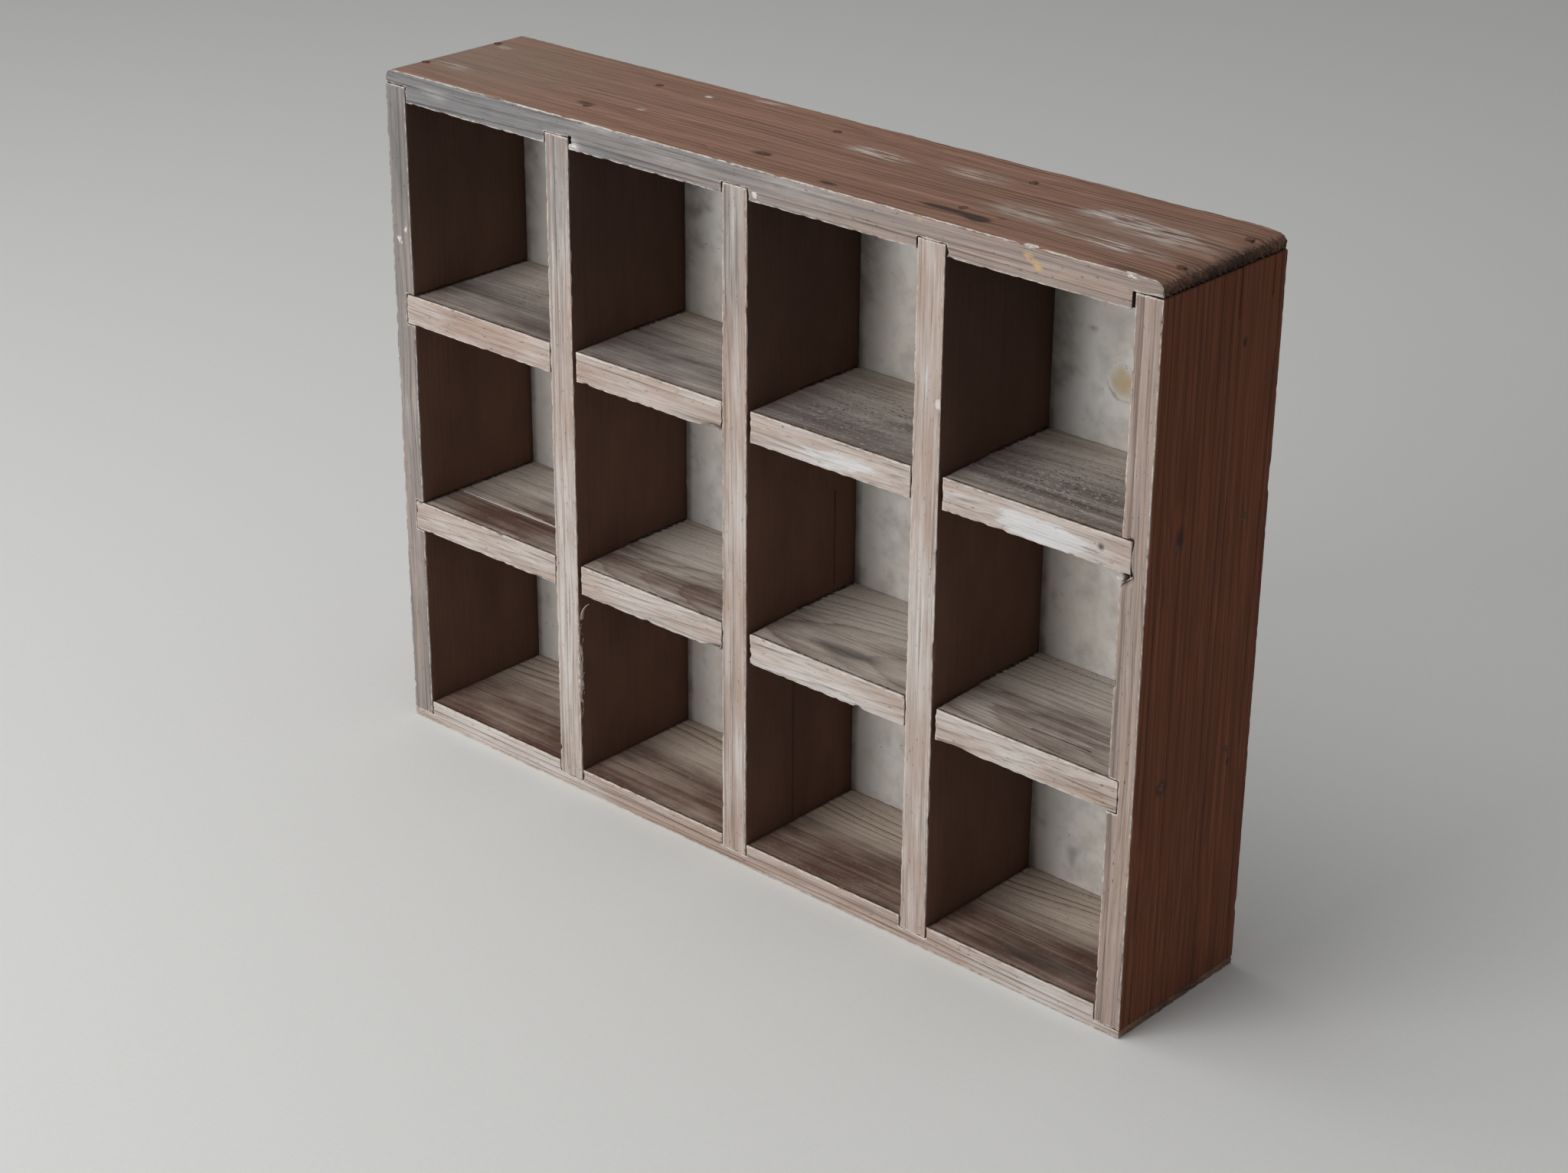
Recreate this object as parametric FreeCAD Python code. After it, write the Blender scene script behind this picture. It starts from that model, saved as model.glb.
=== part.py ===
import FreeCAD, Part
import math
import os
from FreeCAD import Rotation, Vector

# An open rack of pigeonholes in softwood, four columns by three rows, with no doors.
# Origin: middle of the underside. +X is the rack's right seen from the front, the front
# faces -Y and +Z is up. All lengths are in millimetres.

# Compartments, clear sizes
COMPARTMENT_WIDTH = 105.0
BOTTOM_ROW_HEIGHT = 106.0
MIDDLE_ROW_HEIGHT = 104.0
TOP_ROW_HEIGHT = 106.5
COMPARTMENT_DEPTH = 84.0

# Boards
CARCASS_DEPTH = 94.0
SIDE_THICKNESS = 15.0
TOP_THICKNESS = 16.5
BOTTOM_THICKNESS = 13.0
DIVIDER_THICKNESS = 16.5
SHELF_THICKNESS = 16.5
PANEL_THICKNESS = 8.0

# Joinery
CORNER_REBATE_HEIGHT = 8.5
HOUSING_DEPTH = 6.5
PANEL_REBATE_WIDTH = 7.0
HALVING_DEPTH = 38.0
TOP_END_ROUND = 7.0
END_ROUND_LIMIT_SHARE = 0.9

# Clearances of a worn, loosely fitted rack
HOUSING_SIDE_CLEARANCE = 0.4
HOUSING_END_CLEARANCE = 0.6
HALVING_CLEARANCE = 0.3
SLOT_OPEN_GAP = 2.0
TOP_SHOULDER_GAP = 1.5
PANEL_EDGE_CLEARANCE = 0.5

# Wire nails through the boards, and panel pins round the back
NAIL_LENGTH = 38.0
NAIL_SHANK_RADIUS = 1.1
NAIL_HEAD_RADIUS = 2.3
NAIL_HEAD_THICKNESS = 1.0
NAIL_POINT_LENGTH = 3.5
FRONT_NAIL_INSET = 22.0
REAR_NAIL_INSET = 20.0
PIN_LENGTH = 20.0
PIN_SHANK_RADIUS = 0.7
PIN_HEAD_RADIUS = 1.5
PIN_HEAD_THICKNESS = 0.6
PIN_POINT_LENGTH = 2.0
POINT_TIP_SHARE = 0.2
NAIL_SIDES = 8

# One overrun carries every cut past the face that it opens
CUT_OVERRUN = 5.0

DIVIDER_NAMES = ("left_divider", "centre_divider", "right_divider")
SHELF_NAMES = ("lower_shelf", "upper_shelf")

# Widths
COLUMN_PITCH = COMPARTMENT_WIDTH + DIVIDER_THICKNESS
INNER_WIDTH = COMPARTMENT_WIDTH + len(DIVIDER_NAMES) * COLUMN_PITCH
INNER_RIGHT = INNER_WIDTH / 2
INNER_LEFT = -INNER_RIGHT
OUTER_RIGHT = INNER_RIGHT + SIDE_THICKNESS
OUTER_LEFT = -OUTER_RIGHT

# Depths
FRONT = -CARCASS_DEPTH / 2
REAR = CARCASS_DEPTH / 2
PANEL_FRONT = FRONT + COMPARTMENT_DEPTH
PANEL_REAR = PANEL_FRONT + PANEL_THICKNESS
HALVING_ROOT = FRONT + HALVING_DEPTH
NAIL_ROWS = (FRONT + FRONT_NAIL_INSET, REAR - REAR_NAIL_INSET)

# Heights
FLOOR_TOP = BOTTOM_THICKNESS
LOWER_SHELF_UNDERSIDE = FLOOR_TOP + BOTTOM_ROW_HEIGHT
UPPER_SHELF_UNDERSIDE = LOWER_SHELF_UNDERSIDE + SHELF_THICKNESS + MIDDLE_ROW_HEIGHT
CEILING = UPPER_SHELF_UNDERSIDE + SHELF_THICKNESS + TOP_ROW_HEIGHT
OUTER_TOP = CEILING + TOP_THICKNESS
SHELF_UNDERSIDES = (LOWER_SHELF_UNDERSIDE, UPPER_SHELF_UNDERSIDE)
SIDE_FOOT = FLOOR_TOP - CORNER_REBATE_HEIGHT
SIDE_HEAD = CEILING + CORNER_REBATE_HEIGHT
DIVIDER_LEFTS = [
    INNER_LEFT + COMPARTMENT_WIDTH + place * COLUMN_PITCH for place in range(len(DIVIDER_NAMES))
]

DOWN = Vector(0, 0, -1)
UP = Vector(0, 0, 1)
LEFTWARD = Vector(-1, 0, 0)
RIGHTWARD = Vector(1, 0, 0)
FORWARD = Vector(0, -1, 0)


def block(x_range, y_range, z_range):
    """A plain plank or cutter between the given limits."""
    low = Vector(x_range[0], y_range[0], z_range[0])
    size = Vector(x_range[1], y_range[1], z_range[1]) - low
    return Part.makeBox(size.x, size.y, size.z, low)


def ring(radius, depth):
    """The corners of one eight-sided section of a nail, at a depth below its head."""
    turns = [2 * math.pi * place / NAIL_SIDES for place in range(NAIL_SIDES)]
    return [Vector(radius * math.cos(turn), radius * math.sin(turn), -depth) for turn in turns]


def nail(head_point, direction, length, shank_radius, head_radius, head_thickness, point_length):
    """One nail in flats: a head flush at head_point, a shank and a tapered point."""
    rings = [
        ring(head_radius, 0),
        ring(head_radius, head_thickness),
        ring(shank_radius, head_thickness),
        ring(shank_radius, length - point_length),
        ring(shank_radius * POINT_TIP_SHARE, length),
    ]
    outlines = [rings[0], rings[-1]]
    for upper, lower in zip(rings, rings[1:]):
        for place in range(NAIL_SIDES):
            outlines.append([upper[place - 1], lower[place - 1], lower[place], upper[place]])
    flats = [Part.Face(Part.makePolygon(outline + outline[:1])) for outline in outlines]
    solid = Part.Solid(Part.Shell(flats))
    solid.Placement = FreeCAD.Placement(head_point, Rotation(DOWN, direction))
    return solid


def wire_nail(head_point, direction):
    return nail(head_point, direction, NAIL_LENGTH, NAIL_SHANK_RADIUS, NAIL_HEAD_RADIUS,
                NAIL_HEAD_THICKNESS, NAIL_POINT_LENGTH)


def panel_pin(x, z):
    return nail(Vector(x, PANEL_REAR, z), FORWARD, PIN_LENGTH, PIN_SHANK_RADIUS, PIN_HEAD_RADIUS,
                PIN_HEAD_THICKNESS, PIN_POINT_LENGTH)


def corner_nails(z, direction):
    """Nails through the laps of the top or bottom board into the ends of the sides."""
    middle_of_side = OUTER_RIGHT - SIDE_THICKNESS / 2
    return [
        wire_nail(Vector(x, y, z), direction)
        for x in (-middle_of_side, middle_of_side)
        for y in NAIL_ROWS
    ]


def divider_nails(z, direction):
    """Nails through the top or bottom board into the ends of the dividers."""
    return [
        wire_nail(Vector(left + DIVIDER_THICKNESS / 2, y, z), direction)
        for left in DIVIDER_LEFTS
        for y in NAIL_ROWS
    ]


def shelf_nails(x, direction):
    """Nails through one side into the ends of both shelves."""
    return [
        wire_nail(Vector(x, y, underside + SHELF_THICKNESS / 2), direction)
        for underside in SHELF_UNDERSIDES
        for y in NAIL_ROWS
    ]


def panel_pins():
    """Pins round the back panel at each column and row, into the middle of the rebate's shoulder."""
    edge_x = INNER_RIGHT + PANEL_REBATE_WIDTH / 2
    edge_top = CEILING + PANEL_REBATE_WIDTH / 2
    edge_bottom = FLOOR_TOP - PANEL_REBATE_WIDTH / 2
    columns = [left - COMPARTMENT_WIDTH / 2 for left in DIVIDER_LEFTS]
    columns.append(INNER_RIGHT - COMPARTMENT_WIDTH / 2)
    rows = [
        FLOOR_TOP + BOTTOM_ROW_HEIGHT / 2,
        UPPER_SHELF_UNDERSIDE - MIDDLE_ROW_HEIGHT / 2,
        CEILING - TOP_ROW_HEIGHT / 2,
    ]
    pins = [panel_pin(x, z) for z in (edge_bottom, edge_top) for x in columns]
    return pins + [panel_pin(x, z) for x in (-edge_x, edge_x) for z in rows]


def housing_across(left, z_range):
    """Cutter for the through housing that one divider's end stands in."""
    x_range = (left - HOUSING_SIDE_CLEARANCE, left + DIVIDER_THICKNESS + HOUSING_SIDE_CLEARANCE)
    return block(x_range, (FRONT - CUT_OVERRUN, REAR + CUT_OVERRUN), z_range)


def corner_rebates(z_range, right_gap):
    """Cutters for the rebates at both ends that lap over the ends of the sides, loose at the right."""
    y_range = (FRONT - CUT_OVERRUN, REAR + CUT_OVERRUN)
    return [
        block((OUTER_LEFT - CUT_OVERRUN, INNER_LEFT), y_range, z_range),
        block((INNER_RIGHT - right_gap, OUTER_RIGHT + CUT_OVERRUN), y_range, z_range),
    ]


def top_board():
    """Top: end rebates, a housing for each divider, a rebate for the panel, worn round ends."""
    board = block((OUTER_LEFT, OUTER_RIGHT), (FRONT, REAR), (CEILING, OUTER_TOP))
    cutters = corner_rebates((CEILING - CUT_OVERRUN, SIDE_HEAD), TOP_SHOULDER_GAP)
    for left in DIVIDER_LEFTS:
        cutters.append(housing_across(left, (CEILING - CUT_OVERRUN, CEILING + HOUSING_DEPTH)))
    cutters.append(block((OUTER_LEFT - CUT_OVERRUN, OUTER_RIGHT + CUT_OVERRUN),
                         (PANEL_FRONT, REAR + CUT_OVERRUN),
                         (CEILING - CUT_OVERRUN, CEILING + PANEL_REBATE_WIDTH)))
    board = board.cut(cutters)
    lap_thickness = OUTER_TOP - SIDE_HEAD
    ends = [
        edge for edge in board.Edges
        if edge.BoundBox.XLength < edge.BoundBox.YLength and edge.BoundBox.ZMin > SIDE_HEAD
        and abs(abs(edge.CenterOfMass.x) - OUTER_RIGHT) < lap_thickness
    ]
    return board.makeFillet(min(TOP_END_ROUND, END_ROUND_LIMIT_SHARE * lap_thickness), ends)


def bottom_board():
    """Bottom: the same joints as the top, in a thinner board with square ends."""
    board = block((OUTER_LEFT, OUTER_RIGHT), (FRONT, REAR), (0, FLOOR_TOP))
    cutters = corner_rebates((SIDE_FOOT, FLOOR_TOP + CUT_OVERRUN), 0)
    for left in DIVIDER_LEFTS:
        cutters.append(housing_across(left, (FLOOR_TOP - HOUSING_DEPTH, FLOOR_TOP + CUT_OVERRUN)))
    cutters.append(block((OUTER_LEFT - CUT_OVERRUN, OUTER_RIGHT + CUT_OVERRUN),
                         (PANEL_FRONT, REAR + CUT_OVERRUN),
                         (FLOOR_TOP - PANEL_REBATE_WIDTH, FLOOR_TOP + CUT_OVERRUN)))
    return board.cut(cutters)


def side(outer_x, inner_x):
    """A side: a housing for each shelf's end and a rebate for the panel, on its inner face."""
    inward = 1 if inner_x > outer_x else -1
    board = block(sorted((outer_x, inner_x)), (FRONT, REAR), (SIDE_FOOT, SIDE_HEAD))
    open_x = inner_x + inward * CUT_OVERRUN
    cutters = []
    for underside in SHELF_UNDERSIDES:
        housing_head = underside + SHELF_THICKNESS + 2 * HOUSING_SIDE_CLEARANCE
        cutters.append(block(sorted((inner_x - inward * HOUSING_DEPTH, open_x)),
                             (FRONT - CUT_OVERRUN, REAR + CUT_OVERRUN), (underside, housing_head)))
    cutters.append(block(sorted((inner_x - inward * PANEL_REBATE_WIDTH, open_x)),
                         (PANEL_FRONT, REAR + CUT_OVERRUN),
                         (SIDE_FOOT - CUT_OVERRUN, SIDE_HEAD + CUT_OVERRUN)))
    return board.cut(cutters)


def divider(left):
    """A full-height divider, slotted from the rear where the shelves cross it."""
    foot = FLOOR_TOP - HOUSING_DEPTH
    head = CEILING + HOUSING_DEPTH - HOUSING_END_CLEARANCE
    board = block((left, left + DIVIDER_THICKNESS), (FRONT, PANEL_FRONT), (foot, head))
    slots = [
        block((left - CUT_OVERRUN, left + DIVIDER_THICKNESS + CUT_OVERRUN),
              (HALVING_ROOT - HALVING_CLEARANCE, REAR + CUT_OVERRUN),
              (underside, underside + SHELF_THICKNESS + HALVING_CLEARANCE))
        for underside in SHELF_UNDERSIDES
    ]
    return board.cut(slots)


def shelf(underside):
    """A full-width shelf, slotted from the front for the dividers, loose on their right."""
    end_x = INNER_RIGHT + HOUSING_DEPTH - HOUSING_END_CLEARANCE
    z_range = (underside, underside + SHELF_THICKNESS)
    board = block((-end_x, end_x), (FRONT, PANEL_FRONT), z_range)
    slots = [
        block((left - HALVING_CLEARANCE, left + DIVIDER_THICKNESS + SLOT_OPEN_GAP),
              (FRONT - CUT_OVERRUN, HALVING_ROOT),
              (underside - CUT_OVERRUN, underside + SHELF_THICKNESS + CUT_OVERRUN))
        for left in DIVIDER_LEFTS
    ]
    return board.cut(slots)


def back_panel():
    """The thin panel in the rebate behind the compartments."""
    half_width = INNER_RIGHT + PANEL_REBATE_WIDTH - PANEL_EDGE_CLEARANCE
    z_range = (FLOOR_TOP - PANEL_REBATE_WIDTH + PANEL_EDGE_CLEARANCE,
               CEILING + PANEL_REBATE_WIDTH - PANEL_EDGE_CLEARANCE)
    return block((-half_width, half_width), (PANEL_FRONT, PANEL_REAR), z_range)


def nail_groups():
    """Every nail of the rack, by the place where it is driven."""
    return {
        "top_corner_nails": corner_nails(OUTER_TOP, DOWN),
        "bottom_corner_nails": corner_nails(0, UP),
        "top_divider_nails": divider_nails(OUTER_TOP, DOWN),
        "bottom_divider_nails": divider_nails(0, UP),
        "left_shelf_nails": shelf_nails(OUTER_LEFT, RIGHTWARD),
        "right_shelf_nails": shelf_nails(OUTER_RIGHT, LEFTWARD),
        "back_panel_pins": panel_pins(),
    }


def boards():
    """Every board of the rack, before it is nailed."""
    made = {
        "top_board": top_board(),
        "bottom_board": bottom_board(),
        "left_side": side(OUTER_LEFT, INNER_LEFT),
        "right_side": side(OUTER_RIGHT, INNER_RIGHT),
        "back_panel": back_panel(),
    }
    for name, left in zip(DIVIDER_NAMES, DIVIDER_LEFTS):
        made[name] = divider(left)
    for name, underside in zip(SHELF_NAMES, SHELF_UNDERSIDES):
        made[name] = shelf(underside)
    return made


def nailed(board, nails):
    """The board with the hole of each nail that goes into it."""
    through = [one for one in nails if one.BoundBox.intersect(board.BoundBox)]
    return board.cut(through)


def save(name, shape):
    shape.exportStep(os.path.join("parts", name + ".step"))


os.makedirs("parts", exist_ok=True)
groups = nail_groups()
every_nail = [one for group in groups.values() for one in group]
for board_name, board_shape in boards().items():
    save(board_name, nailed(board_shape, every_nail))
for group_name, group in groups.items():
    save(group_name, Part.makeCompound(group))
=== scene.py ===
import math
from dataclasses import dataclass

import bpy
import numpy as np
from mathutils import Color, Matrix, Quaternion, Vector, kdtree


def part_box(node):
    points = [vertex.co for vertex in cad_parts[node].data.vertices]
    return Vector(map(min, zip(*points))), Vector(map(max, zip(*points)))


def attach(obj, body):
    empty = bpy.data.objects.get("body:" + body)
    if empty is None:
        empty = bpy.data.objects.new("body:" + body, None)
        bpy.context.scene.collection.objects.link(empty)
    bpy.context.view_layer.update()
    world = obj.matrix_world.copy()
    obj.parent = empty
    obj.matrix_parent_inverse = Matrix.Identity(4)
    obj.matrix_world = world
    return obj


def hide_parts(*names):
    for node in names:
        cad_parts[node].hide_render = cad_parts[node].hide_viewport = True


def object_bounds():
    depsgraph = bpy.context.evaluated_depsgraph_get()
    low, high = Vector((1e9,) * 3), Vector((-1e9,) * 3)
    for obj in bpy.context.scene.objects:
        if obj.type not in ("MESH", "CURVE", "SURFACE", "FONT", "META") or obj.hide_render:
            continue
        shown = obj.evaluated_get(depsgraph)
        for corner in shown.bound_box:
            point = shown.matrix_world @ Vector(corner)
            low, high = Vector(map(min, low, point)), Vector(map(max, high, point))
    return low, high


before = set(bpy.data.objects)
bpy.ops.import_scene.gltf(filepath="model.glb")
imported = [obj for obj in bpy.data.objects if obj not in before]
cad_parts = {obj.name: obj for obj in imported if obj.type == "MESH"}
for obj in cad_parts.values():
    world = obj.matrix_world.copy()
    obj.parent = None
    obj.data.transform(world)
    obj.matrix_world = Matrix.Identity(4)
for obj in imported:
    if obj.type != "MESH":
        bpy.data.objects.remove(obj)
cad_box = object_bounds()

# All lengths are in metres
MM = 0.001


def mm(*lengths):
    """Lengths given in millimetres, in metres."""
    return tuple(length * MM for length in lengths)


# The camera, at the photograph's viewing angle
CAMERA_AZIMUTH = math.radians(41.96)
CAMERA_ELEVATION = math.radians(24.77)
CAMERA_ROLL = math.radians(0.44)
CAMERA_DISTANCE = 1.5857
CAMERA_TARGET = Vector((-0.0084, 0.0, 0.1402))
CAMERA_LENS = 70.33
CAMERA_SENSOR = 36.0

# Soft studio light: two lamps, and an even fill from the world

@dataclass
class Lamp:
    """A square lamp: where it hangs as seen from the rack, its distance, its side and its power."""
    azimuth: float
    elevation: float
    distance: float
    side: float
    power: float


LAMPS = {
    "key": Lamp(math.radians(-19.0), math.radians(15.0), 2.4, 1.7, 44.0),
    "overhead": Lamp(math.radians(-50.0), math.radians(66.0), 2.4, 2.0, 22.0),
}
FILL_STRENGTH = 0.26
FLOOR_SIZE = 40.0

# The rack's own planes, read from the frame
LEFT, FRONT, FOOT = cad_box[0]
RIGHT, REAR, HEAD = cad_box[1]

# Joints as in the solids, but with one gap for all their small clearances
HALVING_DEPTH = 38.0 * MM
JOINT_GAP = 0.4 * MM
OPEN_SLOT_GAP = 2.0 * MM
END_ROUND = 7.0 * MM
SHOULDER_GAP = 1.5 * MM

# Mesh spacing: close beside every arris, and a little closer along the grain than across it
NEAR_EDGE_LINES = mm(0.6, 1.4, 2.6)
NEAR_EDGE_LIMIT_SHARE = 0.8
STEP_ALONG = 1.3 * MM
STEP_ACROSS = 1.5 * MM
PANEL_STEP = 2.0 * MM

# Faces of cuts that agree to this many decimals share a grid line
LINE_DECIMALS = 6

# Wear on the arrises; a grid corner with few filled cells round it lies on an outer arris
ARRIS_FULLNESS_SHARE = 0.45
SOFT_EDGE_REACH = 1.2 * MM
SOFT_EDGE_SHARE = 0.6
RAG_DEPTH = 0.9 * MM
RAG_POWER = 3
RAG_REACH = 0.8 * MM
RAG_FADE = 12.0 * MM
REAR_RAG_SHARE = 0.3
RAG_CELL = mm(3.2, 2, 2)
CHIP_DEPTH = 1.5 * MM
CHIP_REACH = 1.3 * MM
CHIP_CELL = mm(8, 5, 5)
CHIP_START_SHARE = 0.80
WORN_REACH = 1.2 * MM

# How the rings stand out: the late wood's ridge, and where weathering is deeper or shallower
LATE_START_SHARE = 0.85
RIDGE_POWER = 1.6
FRONT_RELIEF_SHARE = 0.5
LEFT_RELIEF_SHARE = 0.4
LEFT_RING_SHARE = 0.35
END_REACH = 17.0 * MM
END_RELIEF_GAIN = 3.0

# A shelf's slots close up within this reach of their walls
TAPER_REACH = 5.0 * MM

# How squarely a face has to look one way to count, from not at all to fully
FACING_SHARES = (0.5, 0.9)

# Keeps a division by no length finite
TINY = 1e-9

# The splinter on the left divider
SPLINTER_FOOT = 103.0 * MM
SPLINTER_LENGTH = 13.0 * MM
SPLINTER_WIDTH = 2.4 * MM
SPLINTER_THICKNESS = 0.7 * MM
SPLINTER_CURL = math.radians(58.0)
SPLINTER_TIP_SHARE = 0.25
SPLINTER_WASH_SHARE = 0.5
SPLINTER_STEPS = 10

# The torn flake on the right side
FLAKE_MIDDLE = mm(234.4, -43.9, 235.8)
FLAKE_SIZE = mm(6.4, 6, 6.6)
FLAKE_LEVELS = 9
FLAKE_SIDES = 12
FLAKE_END_SHARE = 0.06
FLAKE_ROUGH_SHARE = 0.4
FLAKE_NOISE_SHARE = 0.6

# Where the outer finish stops, and how far dust, cool grey, cracks' lips, grime, painted shade in the nooks
# and painted shade on the top row's inner walls reach
OUTSIDE_NEAR = 0.6 * MM
OUTSIDE_FAR = 2.4 * MM
SILVER_FADE_SHARE = 0.5
DUST_FROM = -22.0 * MM
DUST_TO = 26.0 * MM
CRACK_HALO = 2.5 * MM
LIP_REACH = 0.4 * MM
GRIME_BEHIND = 1.5 * MM
GRIME_REACH = 1.1 * MM
NOOK_REACH = 2.2 * MM
SHADE_FOOT = 230.0 * MM
SHADE_HEAD = 320.0 * MM

# How the grain wanders along a board
WANDER_CELL = mm(170, 90, 90)
WANDER_WIDTH = 12.0 * MM
RIPPLE_CELL = mm(70, 11, 11)
RIPPLE_WIDTH = 2.4 * MM
SWAY_SHARES = (0.0, 1.0, 0.7)
UNEVEN_RINGS = 4
UNEVEN_SHARE = 1.4

# The bleached front reaches a little way round the front arrises
FRONT_NEAR = 0.2 * MM
FRONT_FAR = 0.9 * MM
FRONT_CELL = mm(6, 3, 3)
FRONT_RAGGED = 1.0 * MM

# Noise cells of the materials: along the grain, across it, across it
SPECK_CELL = mm(2.4, 1.5, 1.5)
GRAIN_CELLS = {
    "fibre": mm(26, 0.7, 0.7),
    "line": mm(110, 1.3, 1.3),
    "scrape": mm(22, 1.8, 1.8),
    "streak": mm(150, 3.2, 3.2),
    "blotch": mm(55, 24, 24),
    "patch": mm(50, 9, 9),
    "fleck": mm(3.6, 1.3, 1.3),
    "speck": SPECK_CELL,
}
PANEL_BLOTCH_CELL = mm(60, 60, 60)
PANEL_MOTTLE_CELL = mm(14, 14, 14)

# How far painted shade at the edges, grime on the rim, rust, painted shadow and stains reach on the back
# panel
PANEL_EDGE_REACH = 6.0 * MM
RIM_REACH = 16.0 * MM
PIN_HALO_REACH = 6.0 * MM
PANEL_SHADE_REACH = 26.0 * MM
LOW_SHADE_SHARE = 0.6
RING_BAND_SHARE = 0.25
STAIN_WARP_CELL = mm(7, 7, 7)
STAIN_WARP = 9.0 * MM

# Noise in the materials is turned out of line with the boards' faces, so that its cells don't show as rows
NOISE_AXIS = (0.36, 0.48, 0.8)
NOISE_TURN = math.radians(40.0)
NOISE_DETAIL = 3.0
NOISE_ROUGHNESS = 0.6
NOISE_MIDDLE = 0.5

# Noise in the shapes: a table of random values, and a seed of its own for each use
NOISE_SEED = 11
NOISE_SIZE = 64
NOISE_TABLE = np.random.default_rng(NOISE_SEED).random((NOISE_SIZE,) * 3)
NOISE_SEED_STEP = 7.31
CHIP_SEED = 20
RIPPLE_SEED = 40
FRONT_SEED = 60

# The axes along which grain runs, and an upright board's axes in order: along its grain, then twice across
ALONG_X, ALONG_Z = 0, 2
UPRIGHT_AXES = (2, 0, 1)


@dataclass
class Board:
    """One board and its wood; heart, ring_width and relief are in millimetres.

    The heart is the middle of the tree's rings, across the grain from the board's middle, and tilt is how
    steeply it rises along the grain. The other shares are of whitewash and grey weathering on the front edge,
    of dust on the upper face and of the rings' strength.
    """
    node: str
    slot: str
    grain: int
    heart: tuple
    ring_width: float
    relief: float
    seed: int
    wash: float
    silver: float
    dust: float
    ring_show: float
    tilt: float = 0.0


BOARDS = (
    Board("top_board", "weathered_top", ALONG_X, (-90, -50), 3.1, 0.50, 1, 0.20, 1.00, 0.0, 0.8),
    Board("bottom_board", "pine_bottom", ALONG_X, (-30, -105), 2.9, 0.12, 2, 0.32, 0.05, 0.36, 1.0),
    Board("left_side", "stained_side", ALONG_Z, (100, 105), 3.2, 0.10, 3, 0.12, 0.70, 0.0, 0.6),
    Board("right_side", "stained_side", ALONG_Z, (-95, 100), 3.2, 0.12, 4, 0.15, 1.00, 0.0, 0.8),
    Board("left_divider", "bleached_grid", ALONG_Z, (-85, 60), 3.6, 0.08, 5, 0.40, 0.35, 0.3, 0.7),
    Board("centre_divider", "bleached_grid", ALONG_Z, (70, 75), 3.3, 0.08, 6, 0.35, 0.40, 0.3, 0.7),
    Board("right_divider", "bleached_grid", ALONG_Z, (-60, 50), 4.2, 0.10, 7, 0.45, 0.35, 0.3, 0.7),
    Board("lower_shelf", "bleached_grid", ALONG_X, (-22, -40), 3.6, 0.08, 8, 0.45, 0.20, 0.55, 0.60, 0.10),
    Board("upper_shelf", "bleached_grid", ALONG_X, (-18, -44), 3.6, 0.08, 9, 0.45, 0.20, 0.40, 0.35),
)
DIVIDERS = ("left_divider", "centre_divider", "right_divider")
SHELVES = ("lower_shelf", "upper_shelf")
SIDES = ("left_side", "right_side")
LAPPED_BOARDS = ("top_board", "bottom_board")
PANEL = "back_panel"
NAIL_NODES = ("top_corner_nails", "bottom_corner_nails", "top_divider_nails", "bottom_divider_nails",
              "left_shelf_nails", "right_shelf_nails", "back_panel_pins")

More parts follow.
